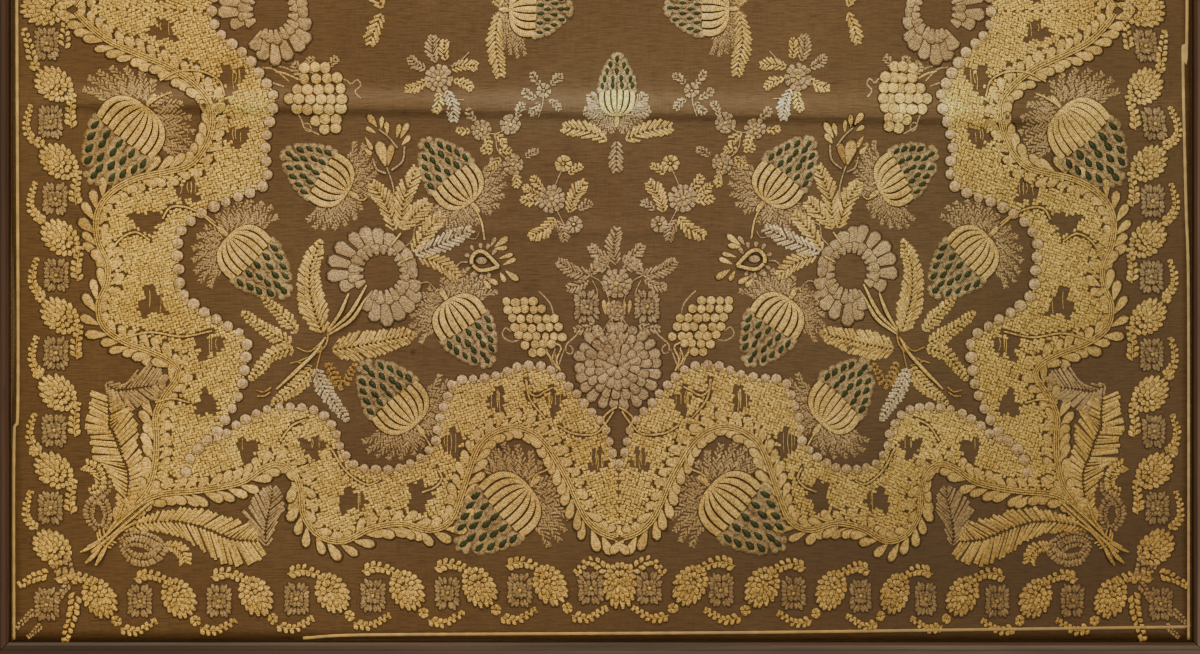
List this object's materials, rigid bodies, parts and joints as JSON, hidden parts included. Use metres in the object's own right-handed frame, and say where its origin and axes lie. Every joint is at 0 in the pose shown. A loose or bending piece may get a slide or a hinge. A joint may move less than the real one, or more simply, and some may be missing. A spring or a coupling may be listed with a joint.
{
  "type": "framed silk embroidery",
  "caption": "Silk panel embroidered with pomegranates, grapes and leafy scrolls, stitched to a linen-covered board in a plain wooden frame.",
  "frame": {"origin": "middle of the back face, on the surface the framed panel lies on", "axes": "+X to the right of the work and +Y to its top, seen from the front; +Z out of its embroidered face"},
  "size_m": [0.769, 0.8184, 0.018],
  "materials": {
    "wood": "dark stained, low wax polish",
    "linen": "coarse plain-woven linen, speckled",
    "silk": "aged brown silk with slubs and a soft sheen",
    "braid": "narrow cream silk braid",
    "gold_silk": "padded satin stitch in pale gold floss",
    "grey_silk": "faded grey-lilac floss",
    "green_silk": "deep green floss",
    "lacework": "couched gold thread in a basket pattern"
  },
  "bodies": {
    "root": {"frame_rail_left": "wood", "frame_rail_right": "wood", "frame_rail_top": "wood", "frame_rail_bottom": "wood", "linen_mount": "linen", "silk_panel": "silk", "braid_left": "braid", "braid_right": "braid", "braid_top": "braid", "braid_bottom": "braid"}
  },
  "joints": []
}
